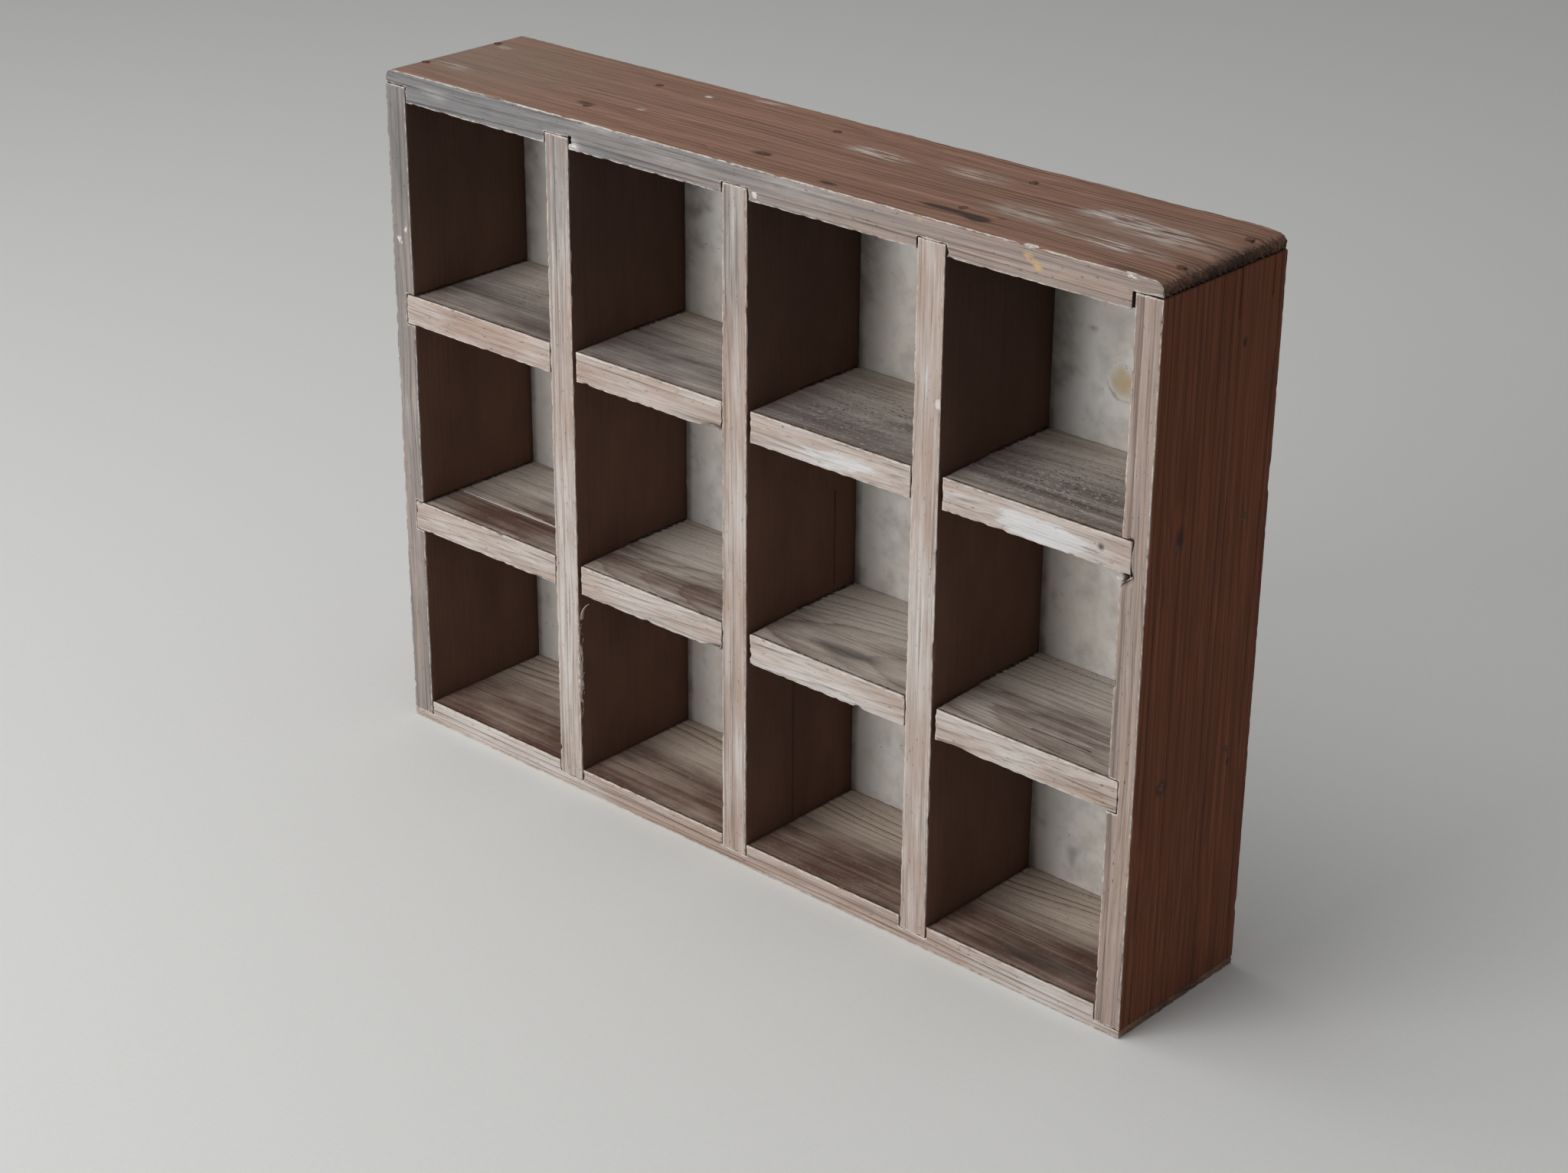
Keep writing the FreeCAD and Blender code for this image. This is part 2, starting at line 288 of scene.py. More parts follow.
# Stains, scuffs and other soft spots of each board, as the photograph shows them: the kind, the middle and
# the reach along x, y and z in millimetres, and the strength
MARKS = {
    "top_board": (
        ("stain", (-125, -22, 379), (10, 4, 6), 0.8),
        ("stain", (-2, -25, 379), (8, 4, 6), 0.8),
        ("stain", (116, -31, 379), (15, 3, 6), 1.0),
        ("stain", (137, -33, 379), (8, 5, 6), 1.0),
        ("stain", (52, -39, 379), (7, 2, 6), 0.9),
        ("stain", (145, -25, 379), (5, 2, 6), 0.7),
        ("stain", (225, -42, 379), (18, 5, 6), 0.6),
        ("scuff", (-226, -20, 379), (14, 4, 6), 0.5),
        ("scuff", (-233, 23, 379), (6, 3, 6), 0.5),
        ("scuff", (-56, 41, 379), (14, 3, 6), 0.5),
        ("scuff", (-88, 29, 379), (2, 2, 6), 1.0),
        ("scuff", (-97, -11, 379), (3, 2, 6), 0.8),
        ("scuff", (38, 12, 379), (17, 6, 6), 0.8),
        ("scuff", (180, 12, 379), (20, 7, 6), 0.7),
        ("scuff", (204, -21, 379), (25, 5, 6), 0.9),
        ("scuff", (215, 6, 379), (30, 14, 6), 0.5),
        ("scuff", (150, -12, 379), (26, 10, 6), 0.45),
        ("scuff", (95, 18, 379), (22, 8, 6), 0.45),
        ("lip", (177, -46, 379), (5, 2, 2), 1.4),
        ("lip", (232, -46, 378), (8, 2, 2), 1.0),
        ("bloom", (-225, 0, 379), (95, 60, 6), 0.6),
        ("bloom", (0, 0, 379), (400, 90, 8), 0.3),
        ("bloom", (200, -5, 379), (50, 30, 6), 0.3),
        ("stain", (250, 0, 370), (12, 70, 14), 0.75),
        ("ochre", (176, -47, 374), (4, 4, 3), 0.8),
        ("ochre", (182, -47, 370), (4, 4, 3), 0.8),
        ("ochre", (114, -47, 377), (3, 4, 2), 0.7),
        ("lip", (-109, -47, 365), (3, 3, 2), 0.9),
        ("lip", (13, -47, 366), (3, 3, 2), 0.9),
        ("wash", (-208, -47, 371), (10, 4, 4), 0.35),
        ("wash", (-110, -47, 365), (4, 4, 3), 0.7),
        ("paint", (222, -47, 377), (16, 5, 3), 0.5),
        ("wash", (-190, -47, 371), (60, 5, 10), -0.15),
    ),
    "bottom_board": (
        ("dust", (-180, 25, 13), (60, 25, 4), -0.25),
        ("grit", (170, 34, 13), (40, 3, 4), 0.45),
        ("stain", (190, -32, 13), (60, 12, 4), 0.6),
        ("stain", (251, 5, 2), (5, 60, 9), 0.6),
        ("wash", (205, -47, 6), (50, 5, 9), 0.45),
        ("wash", (-180, -47, 6), (80, 5, 9), 0.45),
    ),
    "left_side": (
        ("lip", (-239, -47, 293), (2, 3, 3), 0.9),
        ("lip", (-244, -47, 286), (2, 3, 4), 0.9),
        ("silver", (-242, -47, 350), (25, 20, 75), 0.2),
        ("wash", (-242, -47, 180), (12, 5, 70), 0.15),
        ("stain", (-242, -47, 330), (12, 6, 60), 0.46),
    ),
    "right_side": (
        ("lip", (238, -47, 241), (3, 3, 2), 1.2),
        ("stain", (250, -23, 252), (5, 4, 9), 0.8),
        ("stain", (250, -25, 127), (5, 5, 5), 0.9),
        ("stain", (250, 18, 335), (5, 2, 3), 0.9),
        ("stain", (250, 29, 120), (5, 2, 3), 0.9),
    ),
    "left_divider": (
        ("lip", (-113, -46, 72), (1.5, 3, 34), 0.9),
        ("silver", (-121, -47, 345), (15, 20, 60), 0.45),
        ("wash", (-121, -47, 110), (12, 5, 90), 0.3),
        ("wash", (-121, -47, 320), (12, 5, 50), 0.1),
    ),
    "centre_divider": (
        ("silver", (0, -47, 345), (15, 20, 60), 0.4),
        ("wash", (0, -47, 190), (12, 5, 35), 0.25),
        ("wash", (0, -47, 60), (12, 5, 50), 0.1),
    ),
    "right_divider": (
        ("lip", (128, -47, 291), (2, 3, 3), 1.0),
        ("paint", (121, -47, 280), (10, 5, 45), 0.3),
        ("wash", (121, -47, 180), (12, 5, 40), 0.3),
    ),
    "lower_shelf": (
        ("wash", (-180, -47, 126), (40, 5, 9), 0.05),
        ("wash", (180, -47, 126), (20, 5, 9), 0.3),
        ("wash", (60, -47, 126), (40, 5, 9), 0.4),
        ("wash", (-60, -47, 126), (40, 5, 9), 0.3),
        ("paint", (75, -47, 127), (30, 5, 7), 0.35),
        ("paint", (165, -47, 127), (25, 5, 7), 0.35),
        ("scuff", (-190, -19, 136), (45, 2, 4), 0.8),
        ("scuff", (-70, 5, 136), (22, 7, 4), 0.7),
        ("stain", (-178, -25, 136), (60, 4, 4), 0.45),
        ("stain", (60, -30, 136), (50, 12, 4), 0.6),
        # Pale scuffed streaks that also paint light onto the shaded rear of this part of the shelf
        ("scuff", (60, 10, 136), (32, 12, 4), 0.4),
        # Pale scuffed streaks that also paint light onto the shaded rear of this part of the shelf
        ("scuff", (185, 14, 136), (36, 12, 4), 0.25),
        ("bloom", (185, -26, 136), (60, 16, 4), 0.5),
        ("dust", (-180, 25, 136), (60, 20, 4), -0.3),
        ("dust", (-180, -28, 136), (60, 16, 4), -0.34),
        ("dust", (-60, -34, 136), (60, 12, 4), -0.12),
        ("dust", (185, -42, 136), (60, 8, 4), -0.1),
        ("grit", (150, 33, 136), (20, 4, 4), 0.4),
    ),
    "upper_shelf": (
        ("wash", (60, -47, 248), (45, 5, 12), 0.15),
        ("paint", (70, -47, 247), (36, 5, 8), 0.6),
        ("wash", (190, -47, 246), (34, 5, 10), 0.3),
        ("paint", (188, -47, 246), (32, 5, 8), 0.85),
        ("silver", (-185, -47, 248), (40, 5, 9), 0.2),
        ("wash", (-185, -47, 248), (40, 5, 9), -0.2),
        ("bloom", (0, -20, 256), (400, 34, 4), 1.3),
        ("dust", (0, 25, 256), (400, 25, 4), -0.32),
        ("grit", (58, -10, 256), (40, 30, 4), 0.8),
        ("grit", (182, -12, 256), (45, 30, 4), 0.9),
        ("grit", (-180, 8, 256), (25, 20, 4), 0.6),
        ("stain", (224, -47, 249), (2.5, 4, 2.5), 0.8),
    ),
    PANEL: (
        ("ochre", (171, 37, 291), (9, 9, 8), 0.8),
        ("ring", (170, 37, 291), (10, 9, 9), 0.6),
        ("stain", (176, 37, 288), (3, 9, 3), 0.8),
        ("stain", (168, 37, 316), (22, 9, 10), 0.5),
        ("stain", (160, 37, 276), (10, 9, 4), 0.4),
        ("stain", (150, 37, 309), (2, 9, 2), 0.9),
        ("stain", (158, 37, 29), (6, 9, 7), 0.8),
        ("stain", (150, 37, 60), (12, 9, 20), 0.4),
        ("stain", (21, 37, 37), (5, 9, 6), 0.5),
        ("ochre", (75, 37, 75), (40, 9, 160), 0.5),
    ),
}

# Masks of the boards and of the panel that start empty, for the marks to fill
SPOT_KINDS = ("stain", "scuff", "ochre", "bloom", "lip", "grit", "paint")
PANEL_SPOT_KINDS = ("stain", "ochre", "ring")

# Chips and bruises: the board, the middle and the reach along x, y and z, and the depth, all in millimetres
DENTS = (
    ("top_board", (177, -47, 379), (6, 2, 2), 1.0),
    ("top_board", (-29, -34, 379), (2, 2, 3), 0.8),
    ("bottom_board", (-121, -47, 10), (9, 3, 3), 1.5),
    ("right_side", (236, -47, 238), (5, 4, 4), 4.0),
    ("right_divider", (129, -47, 292), (2, 3, 2), 1.0),
    ("lower_shelf", (-12, -47, 119), (8, 5, 4), 2.5),
    ("upper_shelf", (-14, -47, 240), (8, 5, 4), 2.5),
)

# Cracks, and a notch in the top board: the board and the low and high corners of the cut, in millimetres
PALE_CRACKS = (
    ("lower_shelf", (-231, -20.4, 130), (-148, -19.8, 137)),
)
CRACKS = PALE_CRACKS + (
    ("lower_shelf", (178, -31.3, 132), (214, -30.8, 137)),
    ("top_board", (-113, -48, 366), (-111, -41, 369.5)),
    ("centre_divider", (3, -10.4, 14), (9, -9.9, 96)),
    ("centre_divider", (4, 20.2, 139), (9, 20.7, 193)),
    ("right_side", (246, 11.7, 347), (251, 12.2, 373)),
    ("right_side", (247, 37.6, 352), (251, 38.1, 373)),
)

# How noise darkens or lightens a colour: pairs of a noise level and a share of the colour
FIBRE_SHADES = ((0.25, 0.62), (0.45, 0.93), (0.8, 1.06))
OUTER_LINES = ((0.3, 0.7), (0.5, 0.98), (0.68, 1.3))
OUTER_STREAKS = ((0.3, 0.8), (0.7, 1.08))
FRONT_LINES = ((0.31, 0.5), (0.42, 0.94), (0.7, 1.06))
INNER_BLOTCHES = ((0.3, 0.84), (0.7, 1.12))
PANEL_MOTTLES = ((0.34, 0.82), (0.6, 1.09))

# How dark the late wood is across one ring, and how far streaks shift the rings
RING_STOPS = ((0.0, 0.0), (0.5, 0.1), (0.78, 0.5), (0.92, 1.0), (1.0, 0.05))
RING_STREAK_SHARE = 0.6

# Noise or mask levels at which something starts and is full
RING_STRENGTH_LEVELS = (-0.25, 0.9)
PIT_LEVELS = (0.36, 0.28)
PALE_GRIT_LEVELS = (0.6, 0.64)
DARK_GRIT_LEVELS = (0.4, 0.34)
SCUFF_LEVELS = (0.05, 0.7)
SCRAPE_LEVELS = (0.42, 0.6)
PANEL_TONE_LEVELS = (0.3, 0.7)
PANEL_SPECK_LEVELS = (0.69, 0.76)
RUST_LEVELS = (0.35, 0.65)

# Noise levels at which a surface would be a mirror and is fully rough
WOOD_ROUGH_LEVELS = (-1.2, 1.0)
PANEL_ROUGH_LEVELS = (-2.0, 1.0)
RUST_ROUGH_LEVELS = (-2.0, 1.0)
FLOOR_ROUGH_LEVELS = (-3.0, 1.0)
SPECULAR_SHARE = 0.25

# How deep the bumps of each material are, and the height of late wood and grit beside the fibres
WOOD_BUMP = 0.3 * MM
PANEL_BUMP = 0.15 * MM
RUST_BUMP = 0.2 * MM
FLOOR_BUMP = 0.05 * MM
LATE_HEIGHT_SHARE = 0.3
GRIT_HEIGHT_SHARE = 2.0


@dataclass
class Layer:
    """A layer of colour: the mask levels where it starts and is full, its border's wobble, its strength."""
    start: float
    full: float
    wobble: float
    strength: float = 1.0


LAYERS = {
    "bloom": Layer(0.1, 1.2, 1.0, 0.85),
    "silver": Layer(0.3, 1.0, 0.9),
    "wash": Layer(0.15, 0.85, 1.2),
    "paint": Layer(0.46, 0.58, 2.2, 0.6),
    "bright_arris": Layer(0.55, 0.95, 1.5, 0.8),
    "worn_arris": Layer(0.6, 1.1, 0.7),
    "front": Layer(0.3, 0.7, 0.4),
    "dust": Layer(0.2, 0.9, 1.1),
    "grime_and_shade": Layer(0.4, 1.0, 1.2, 0.95),
    "ochre": Layer(0.35, 0.9, 0.6),
    "lip": Layer(0.55, 0.75, 1.8),
    "stain": Layer(0.25, 0.8, 0.7, 0.85),
    "panel_ochre": Layer(0.3, 1.0, 0.8),
    "panel_ring": Layer(0.35, 1.1, 1.6, 0.7),
    "panel_stain": Layer(0.2, 1.1, 0.9, 0.6),
    "panel_grime_and_shade": Layer(0.3, 1.2, 1.0, 0.85),
    "panel_rust": Layer(0.2, 1.1, 0.8, 0.7),
}

# How strongly other layers show, and how much of one noise goes into a border
INNER_RING_SHARE = 0.35
INNER_FIBRE_SHARE = 0.3
TOP_SHADE_SHARE = 0.5
GRIT_SHARE = 0.35
WASH_SHARE = 0.75
WASH_RING_SHARE = 0.7
PIT_SHARE = 0.6
DUST_RING_SHARE = 0.95
PAINT_PATCH_SHARE = 0.6
DRIFT_BLOTCH_SHARE = 0.5

# Display colours that all the boards share
INNER_EARLY = (103, 75, 61)
INNER_LATE = (90, 65, 54)
INNER_BLOOM = (116, 106, 104)
BARE_EARLY = (172, 151, 138)
BARE_LATE = (112, 97, 88)
WASH = (206, 202, 198)
PAINT = (210, 211, 212)
SLATE = (127, 126, 126)
SLATE_LATE = (84, 83, 83)
SILVER = (140, 124, 112)
WORN = (176, 154, 136)
# Dark grime in pits and behind the front arrises; in the nooks beside the upright walls this colour is
# painted shade
GRIME_AND_SHADE = (58, 46, 40)
# Painted shade on the inner walls of the top row
TOP_SHADE = (56, 42, 36)
BRIGHT = (214, 206, 198)
GRIT_PALE = (206, 198, 186)
GRIT_DARK = (66, 54, 48)
STAIN = (52, 44, 42)
SCUFF = (206, 198, 190)
OCHRE = (198, 166, 122)

# Display colours of the nails, the back panel, each layer on the panel, and the floor
RUST_DARK = (82, 57, 46)
RUST_PALE = (112, 80, 64)
PANEL_COOL = (224, 222, 219)
PANEL_WARM = (213, 206, 197)
PANEL_LAYER_TONES = {
    "ochre": (196, 172, 130),
    "ring": (116, 112, 106),
    "stain": (96, 92, 88),
    # In the compartments this grime tone is painted shade; on the rear face it is grime along the rim
    "grime_and_shade": (88, 77, 69),
    "rust": RUST_PALE,
}
FLOOR_DARK = (220, 220, 218)
FLOOR_PALE = (228, 228, 226)


@dataclass
class Finish:
    """A board's outer early and late wood and the dust on it, as display colours, and how thick dust lies."""
    early: tuple
    late: tuple
    dust: tuple
    dust_share: float


FINISHES = {
    "weathered_top": Finish((155, 117, 98), (70, 47, 38), (222, 212, 200), 0.2),
    "pine_bottom": Finish((150, 118, 98), (104, 76, 62), (228, 212, 196), 0.93),
    "stained_side": Finish((121, 71, 49), (83, 46, 32), (222, 212, 200), 0.2),
    "bleached_grid": Finish((140, 108, 90), (100, 74, 60), (231, 222, 211), 0.94),
}

# The highest display value of a colour
DISPLAY_WHITE = 255


# Smooth noise, slopes and distances

def eased(share):
    """A share from 0 to 1 with a slow start and a slow end."""
    return share * share * (3 - 2 * share)


def noise(points, cell, seed=0):
    """Smooth noise from 0 to 1 at each point, with the given cell size along each axis."""
    scaled = points / np.asarray(cell) + seed * NOISE_SEED_STEP
    base = np.floor(scaled).astype(int)
    part = scaled - base
    part = eased(part)
    total = np.zeros(len(points))
    for corner in np.ndindex(2, 2, 2):
        weight = np.prod(np.where(corner, part, 1 - part), axis=1)
        row, column, layer = ((base + corner) % NOISE_SIZE).T
        total += weight * NOISE_TABLE[row, column, layer]
    return total


def swing(points, cell, seed=0):
    """Smooth noise to both sides of 0."""
    return noise(points, cell, seed) - NOISE_MIDDLE


def rise(low, high, values):
    """0 below low, 1 above high, and a smooth slope between."""
    return eased(np.clip((values - low) / (high - low), 0, 1))


def near(distance, reach):
    """1 at no distance, fading out over a reach."""
    return np.exp(-(distance / reach) ** 2)


def facing(share):
    """1 where a face looks squarely one way, by the share of its direction that does."""
    return rise(*FACING_SHARES, share)


def nearest_distance(points, targets):
    """How far each point is from the nearest target."""
    tree = kdtree.KDTree(len(targets))
    for number, target in enumerate(targets):
        tree.insert(target, number)
    tree.balance()
    return np.array([distance for _, _, distance in map(tree.find, points)])


# Board meshes: a grid of cells with the joints left out, and its outer skin

def spaced(stops, step):
    """Grid lines along one axis: close together beside each stop, a step apart elsewhere."""
    lines = [stops[-1]]
    for low, high in zip(stops, stops[1:]):
        half = (high - low) / 2
        close = [0.0] + [offset for offset in NEAR_EDGE_LINES if offset < half * NEAR_EDGE_LIMIT_SHARE]
        inner_low, inner_high = low + close[-1], high - close[-1]
        count = max(1, math.ceil((inner_high - inner_low) / step))
        lines += [low + offset for offset in close]
        lines += [high - offset for offset in close[1:]]
        lines += list(np.linspace(inner_low, inner_high, count + 1)[1:-1])
    return np.array(sorted(lines))


def stops_along(axis, box, cuts):
    """The outer faces of a board and every cut's faces inside them, in order along one axis."""
    low, high = box[0][axis], box[1][axis]
    inside = {round(face[axis], LINE_DECIMALS) for cut in cuts for face in cut if low < face[axis] < high}
    return [low] + sorted(inside) + [high]


def skin(filled):
    """Quads that bound the filled cells, facing out, as grid corner numbers."""
    corners = np.array(filled.shape) + 1
    padded = np.pad(filled, 1)
    quads = []
    for axis in range(3):
        order = (axis, (axis + 1) % 3, (axis + 2) % 3)
        turned = padded.transpose(order)
        below, above = turned[:-1, 1:-1, 1:-1], turned[1:, 1:-1, 1:-1]
        ring = np.array([(0, 0, 0), (0, 1, 0), (0, 1, 1), (0, 0, 1)])
        for faces, loop in ((below & ~above, ring), (above & ~below, ring[::-1])):
            found = np.argwhere(faces)[:, None, :] + loop
            place = np.empty_like(found)
            place[..., list(order)] = found
            quads.append(np.ravel_multi_index(tuple(np.moveaxis(place, -1, 0)), corners))
    return np.concatenate(quads)


def fullness(filled):
    """For each grid corner, the share of the eight cells round it that are filled."""
    padded = np.pad(filled, 1).astype(float)
    shifts = [padded[tuple(slice(first, first + count + 1) for first, count in zip(shift, filled.shape))]
              for shift in np.ndindex(2, 2, 2)]
    return sum(shifts) / len(shifts)


@dataclass
class Skin:
    """A board's surface: its points, quads, outward directions and how full each point's corner is."""
    points: np.ndarray
    quads: np.ndarray
    outward: np.ndarray
    fullness: np.ndarray


def outward(points, quads):
    """The outward direction at each point."""
    side_a = points[quads[:, 2]] - points[quads[:, 0]]
    side_b = points[quads[:, 3]] - points[quads[:, 1]]
    normals = np.cross(side_a, side_b)
    normals /= np.linalg.norm(normals, axis=1, keepdims=True)
    total = np.zeros_like(points)
    for axis in range(3):
        total[:, axis] = np.bincount(quads.ravel(), np.repeat(normals[:, axis], quads.shape[1]), len(points))
    return total / np.maximum(np.linalg.norm(total, axis=1, keepdims=True), TINY)


def grid_skin(box, cuts, steps):
    """The skin of a box with box-shaped cuts taken out of it."""
    lines = [spaced(stops_along(axis, box, cuts), steps[axis]) for axis in range(3)]
    middles = np.meshgrid(*[(line[1:] + line[:-1]) / 2 for line in lines], indexing="ij")
    filled = np.ones(middles[0].shape, bool)
    for low, high in cuts:
        inside = [(middle > low[axis]) & (middle < high[axis]) for axis, middle in enumerate(middles)]
        filled &= ~(inside[0] & inside[1] & inside[2])
    corners = np.stack(np.meshgrid(*lines, indexing="ij"), axis=-1).reshape(-1, 3)
    used, quads = np.unique(skin(filled), return_inverse=True)
    quads = quads.reshape(-1, 4)
    points = corners[used]
    return Skin(points, quads, outward(points, quads), fullness(filled).ravel()[used])


# The joints that are cut into each board

def grown(box, across=JOINT_GAP, axis=0):
    """A box made wider by a gap on both sides along one axis."""
    low, high = Vector(box[0]), Vector(box[1])
    low[axis] -= across
    high[axis] += across
    return low, high


def through_rear(box):
    """A box carried on to the rear face of the rack, and a little past it."""
    low, high = Vector(box[0]), Vector(box[1])
    high[1] = REAR + JOINT_GAP
    return low, high


def joint_cuts(node):
    """The boxes of wood that a board loses to its neighbours."""
    halving_root = FRONT + HALVING_DEPTH
    cuts = []
    if node in LAPPED_BOARDS:
        cuts += [grown(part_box(mate)) for mate in DIVIDERS + SIDES]
    if node == "top_board":
        cuts.append(grown(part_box("right_side"), SHOULDER_GAP))
    if node in SIDES:
        cuts += [grown(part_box(mate), axis=2) for mate in SHELVES]
    if node in DIVIDERS:
        for mate in SHELVES:
            low, high = grown(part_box(mate), axis=2)
            low[1] = halving_root
            cuts.append((low, high))
    if node in SHELVES:
        for mate in DIVIDERS:
            low, high = grown(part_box(mate))
            high[0] += OPEN_SLOT_GAP
            high[1] = halving_root
            cuts.append((low, high))
    if node in LAPPED_BOARDS + SIDES:
        cuts.append(through_rear(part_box(PANEL)))
    return cuts


def crack_cuts(node, cracks=CRACKS):
    """The board's cracks, as thin cuts."""
    return [(Vector(low) * MM, Vector(high) * MM) for name, low, high in cracks if name == node]


# Wear and grain

def arris_distance(surface):
    """How far each point of a skin is from the nearest outer arris."""
    return nearest_distance(surface.points, surface.points[surface.fullness < ARRIS_FULLNESS_SHARE])


def smoothed(points, quads, weight):
    """Points moved towards their neighbours' middle, by a weight for each point."""
    ends = np.roll(quads, -1, axis=1).ravel()
    here = np.concatenate([quads.ravel(), ends])
    there = np.concatenate([ends, quads.ravel()])
    count = np.bincount(here, minlength=len(points))[:, None]
    sums = [np.bincount(here, points[there, axis], len(points)) for axis in range(3)]
    return points + (np.stack(sums, axis=1) / count - points) * weight[:, None]


def grain_place(board, points):
    """Each point from the board's middle, along the grain and twice across it, bent as the grain wanders."""
    low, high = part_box(board.node)
    place = points - np.array((low + high) / 2)
    if board.grain == ALONG_Z:
        place = place[:, UPRIGHT_AXES]
    bend = swing(place, WANDER_CELL, board.seed)
    ripple = swing(place, RIPPLE_CELL, board.seed + RIPPLE_SEED)
    sway = bend * WANDER_WIDTH + ripple * RIPPLE_WIDTH
    return place + sway[:, None] * np.array(SWAY_SHARES)


def ring_count(board, place):
    """How many growth rings lie between the tree's heart and each point."""
    heart_across, heart_level = np.array(board.heart) * MM
    ring_width = board.ring_width * MM
    tilted_level = heart_level + board.tilt * place[:, 0]
    radius = np.hypot(place[:, 1] - heart_across, place[:, 2] - tilted_level)
    uneven = noise(np.stack([radius] * 3, axis=1), UNEVEN_RINGS * ring_width, board.seed)
    return radius / ring_width + uneven * UNEVEN_SHARE


def ridge(rings):
    """The height of the hard late wood across one ring, from 0 to 1."""
    turn = rings % 1
    slow, quick = turn / LATE_START_SHARE, (1 - turn) / (1 - LATE_START_SHARE)
    return np.where(turn < LATE_START_SHARE, slow, quick) ** RIDGE_POWER


def dented(board, points):
    """How deep the board's own chips and bruises are at each point."""
    depth = np.zeros(len(points))
    for name, middle, reach, deepest in DENTS:
        if name == board.node:
            depth += deepest * MM * soft_spot(points, middle, reach)
    return depth


def edge_wear(board, surface, place, distance):
    """How deep the arrises are ragged and chipped, less so towards the rear."""
    rag = noise(place, RAG_CELL, board.seed) ** RAG_POWER * RAG_DEPTH * near(distance, RAG_REACH)
    chip = rise(CHIP_START_SHARE, 1, noise(place, CHIP_CELL, board.seed + CHIP_SEED))
    chip = chip * CHIP_DEPTH * near(distance, CHIP_REACH)
    to_rear = rise(0, RAG_FADE, surface.points[:, 1] - FRONT)
    return (rag + chip) * (1 - (1 - REAR_RAG_SHARE) * to_rear)


def relief_gain(board, surface):
    """How much the rings' relief is raised at the ends of the grain and lowered on the front and the left."""
    on_front = facing(-surface.outward[:, 1])
    at_end = rise(RIGHT - END_REACH, RIGHT, np.abs(surface.points[:, 0])) * (board.grain == ALONG_X)
    gain = (1 - on_front * (1 - FRONT_RELIEF_SHARE)) * (1 + at_end * END_RELIEF_GAIN)
    return gain * (LEFT_RELIEF_SHARE + (1 - LEFT_RELIEF_SHARE) * rise(LEFT, RIGHT, surface.points[:, 0]))


def worn(board, surface, place, rings, distance):
    """A board's points with soft, ragged and chipped arrises, dents and weathered rings."""
    softness = near(distance, SOFT_EDGE_REACH) * SOFT_EDGE_SHARE
    points = smoothed(surface.points, surface.quads, softness)
    weathering = (1 - ridge(rings)) * (board.relief * MM) * relief_gain(board, surface)
    depth = edge_wear(board, surface, place, distance) + weathering + dented(board, surface.points)
    return points - surface.outward * depth[:, None]


def rounded_ends(points):
    """The top board's two ends, rounded along their upper arrises."""
    over_end = np.maximum(0, np.abs(points[:, 0]) - (RIGHT - END_ROUND))
    over_top = np.maximum(0, points[:, 2] - (HEAD - END_ROUND))
    reach = np.hypot(over_end, over_top)
    pull = np.where(reach > END_ROUND, END_ROUND / np.maximum(reach, TINY), 1.0)
    shaped = points.copy()
    shaped[:, 0] -= np.sign(points[:, 0]) * over_end * (1 - pull)
    shaped[:, 2] -= over_top * (1 - pull)
    return shaped


def tapered_slots(points):
    """A shelf's open slots, closing up from the front to their roots."""
    shaped = points.copy()
    inward = np.clip((points[:, 1] - FRONT) / HALVING_DEPTH, 0, 1)
    for node in DIVIDERS:
        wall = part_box(node)[1][0] + JOINT_GAP + OPEN_SLOT_GAP
        beside = near(points[:, 0] - wall, TAPER_REACH) * (points[:, 0] > wall - JOINT_GAP)
        shaped[:, 0] -= OPEN_SLOT_GAP * inward * beside
    return shaped


# Masks: how much of each kind of weathering every point carries

def steps_from(points, middle, reach):
    """How far each point is from a middle, in reaches along each axis; both are in millimetres."""
    return (points - np.array(middle) * MM) / (np.array(reach) * MM)


def soft_spot(points, middle, reach):
    """1 in the middle of a mark, fading out over its reach."""
    return np.exp(-(steps_from(points, middle, reach) ** 2).sum(axis=1))


def soft_ring(points, middle, reach):
    """1 on the border of a mark, fading out to both sides."""
    radius = np.linalg.norm(steps_from(points, middle, reach)[:, (0, 2)], axis=1)
    return near(radius - 1, RING_BAND_SHARE)


def close_to(points, low, high, reach):
    """Whether each point is in a box or within reach of it."""
    return ((points > np.array(low) - reach) & (points < np.array(high) + reach)).all(axis=1)


def wall_distance(points):
    """How far each point is, along x, from the nearest upright wall of a compartment."""
    faces = [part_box(node)[side][0] for node in DIVIDERS + SIDES for side in (0, 1)]
    return np.abs(points[:, :1] - np.array(faces)).min(axis=1)


def outside_mask(points):
    """1 on the rack's outer faces, 0 inside it."""
    to_plane = np.stack([points[:, 0] - LEFT, RIGHT - points[:, 0], points[:, 2] - FOOT, HEAD - points[:, 2],
                         REAR - points[:, 1]])
    return 1 - rise(OUTSIDE_NEAR, OUTSIDE_FAR, to_plane.min(axis=0))


def grime_and_shade_mask(points):
    """1 along the grime just behind the front arrises, and painted shade in the nooks beside the upright
    walls.
    """
    behind_front = near(points[:, 1] - FRONT - GRIME_BEHIND, GRIME_REACH)
    return np.maximum(behind_front, near(wall_distance(points), NOOK_REACH))


